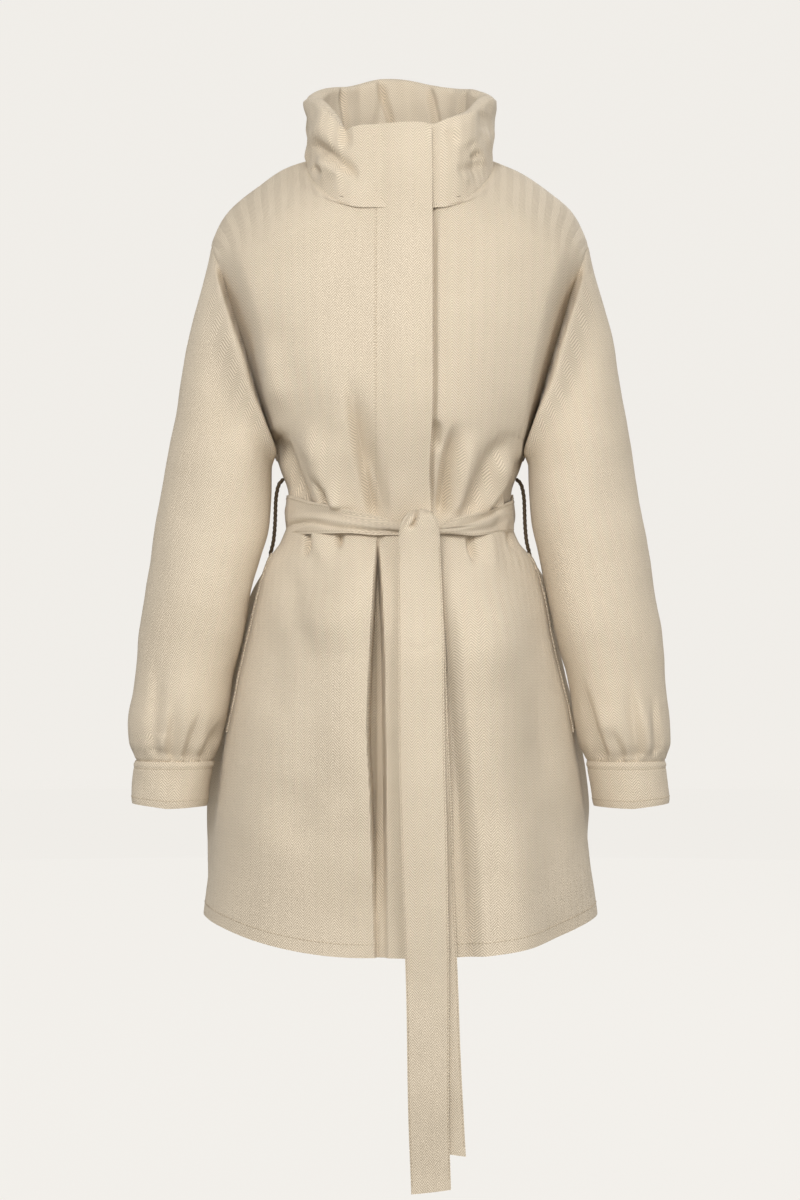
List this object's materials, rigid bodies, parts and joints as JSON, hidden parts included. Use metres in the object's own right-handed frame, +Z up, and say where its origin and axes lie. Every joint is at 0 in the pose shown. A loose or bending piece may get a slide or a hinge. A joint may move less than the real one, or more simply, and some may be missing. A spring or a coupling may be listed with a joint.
{
  "type": "belted coat",
  "caption": "Thigh-length belted coat with a tall padded funnel collar, fly-covered zip front, full sleeves pleated into cuffs and a knotted sash belt.",
  "frame": {"origin": "centre of the neck at the height where the shoulders begin, where a body or a hanger carries the coat", "axes": "+Z up, -Y the coat's front, +X the wearer's left"},
  "size_m": [0.614, 0.3505, 1.257],
  "materials": {
    "shell_fabric": "matt herringbone twill",
    "lining_fabric": "smooth lining with a soft sheen",
    "padding": "soft wadding",
    "zip_tape": "woven tape with a moulded coil",
    "zip_metal": "brushed",
    "stud_metal": "satin",
    "strap_fabric": "dark braid"
  },
  "bodies": {
    "coat": {"front_left": "shell_fabric", "back_left": "shell_fabric", "pocket_welt_left": "shell_fabric", "lining_front_left": "lining_fabric", "lining_back_left": "lining_fabric", "pocket_bag_left": "lining_fabric", "zip_tape_left": "zip_tape", "zip_coil_left": "zip_tape", "zip_stop_left": "zip_metal", "belt_loop_left": "strap_fabric", "front_right": "shell_fabric", "back_right": "shell_fabric", "pocket_welt_right": "shell_fabric", "lining_front_right": "lining_fabric", "lining_back_right": "lining_fabric", "pocket_bag_right": "lining_fabric", "zip_tape_right": "zip_tape", "zip_coil_right": "zip_tape", "zip_stop_right": "zip_metal", "belt_loop_right": "strap_fabric", "collar_outer": "shell_fabric", "collar_inner": "shell_fabric", "fly_lower": "shell_fabric", "belt_wrap": "shell_fabric", "belt_knot": "shell_fabric", "collar_wadding": "padding", "zip_box": "zip_metal", "stud_1": "stud_metal", "stud_2": "stud_metal", "stud_3": "stud_metal", "stud_4": "stud_metal", "stud_socket_4": "stud_metal", "stud_5": "stud_metal", "stud_socket_5": "stud_metal", "stud_6": "stud_metal", "stud_socket_6": "stud_metal"},
    "fly": {"fly_upper": "shell_fabric", "stud_socket_1": "stud_metal", "stud_socket_2": "stud_metal", "stud_socket_3": "stud_metal"},
    "zip_slider": {"zip_slider": "zip_metal", "zip_pull": "zip_metal"},
    "sleeve_left": {"sleeve_top_left": "shell_fabric", "sleeve_under_left": "shell_fabric", "sleeve_lining_left": "lining_fabric", "cuff_left": "shell_fabric"},
    "sleeve_right": {"sleeve_top_right": "shell_fabric", "sleeve_under_right": "shell_fabric", "sleeve_lining_right": "lining_fabric", "cuff_right": "shell_fabric"},
    "belt_end_rear": {"belt_end_rear": "shell_fabric"},
    "belt_end_front": {"belt_end_front": "shell_fabric"},
    "hang_loop": {"hang_loop": "lining_fabric"}
  },
  "joints": [
    {"name": "fly_turn", "type": "hinge", "parent": "coat", "child": "fly", "pos_m": [-0.03, -0.1204, -0.1], "axis": [0, -0.1435, -0.9897], "range_deg": [0, 80]},
    {"name": "zip_slide", "type": "slide", "parent": "coat", "child": "zip_slider", "axis": [0, -0.1435, -0.9897], "range_m": [0, 0.27]},
    {"name": "sleeve_left_swing", "type": "hinge", "parent": "coat", "child": "sleeve_left", "pos_m": [0.213, 0, -0.087], "axis": [0, -1, 0], "range_deg": [0, 45]},
    {"name": "sleeve_right_swing", "type": "hinge", "parent": "coat", "child": "sleeve_right", "pos_m": [-0.213, 0, -0.087], "axis": [0, 1, 0], "range_deg": [0, 45]},
    {"name": "belt_end_rear_swing", "type": "hinge", "parent": "coat", "child": "belt_end_rear", "pos_m": [0.022, -0.128, -0.43], "axis": [-1, 0, 0], "range_deg": [0, 45]},
    {"name": "belt_end_front_swing", "type": "hinge", "parent": "belt_end_rear", "child": "belt_end_front", "pos_m": [0.022, -0.135, -0.43], "axis": [-1, 0, 0], "range_deg": [0, 30]},
    {"name": "hang_loop_flip", "type": "hinge", "parent": "coat", "child": "hang_loop", "pos_m": [0, 0.065, 0.015], "axis": [-1, 0, 0], "range_deg": [0, 150]}
  ]
}
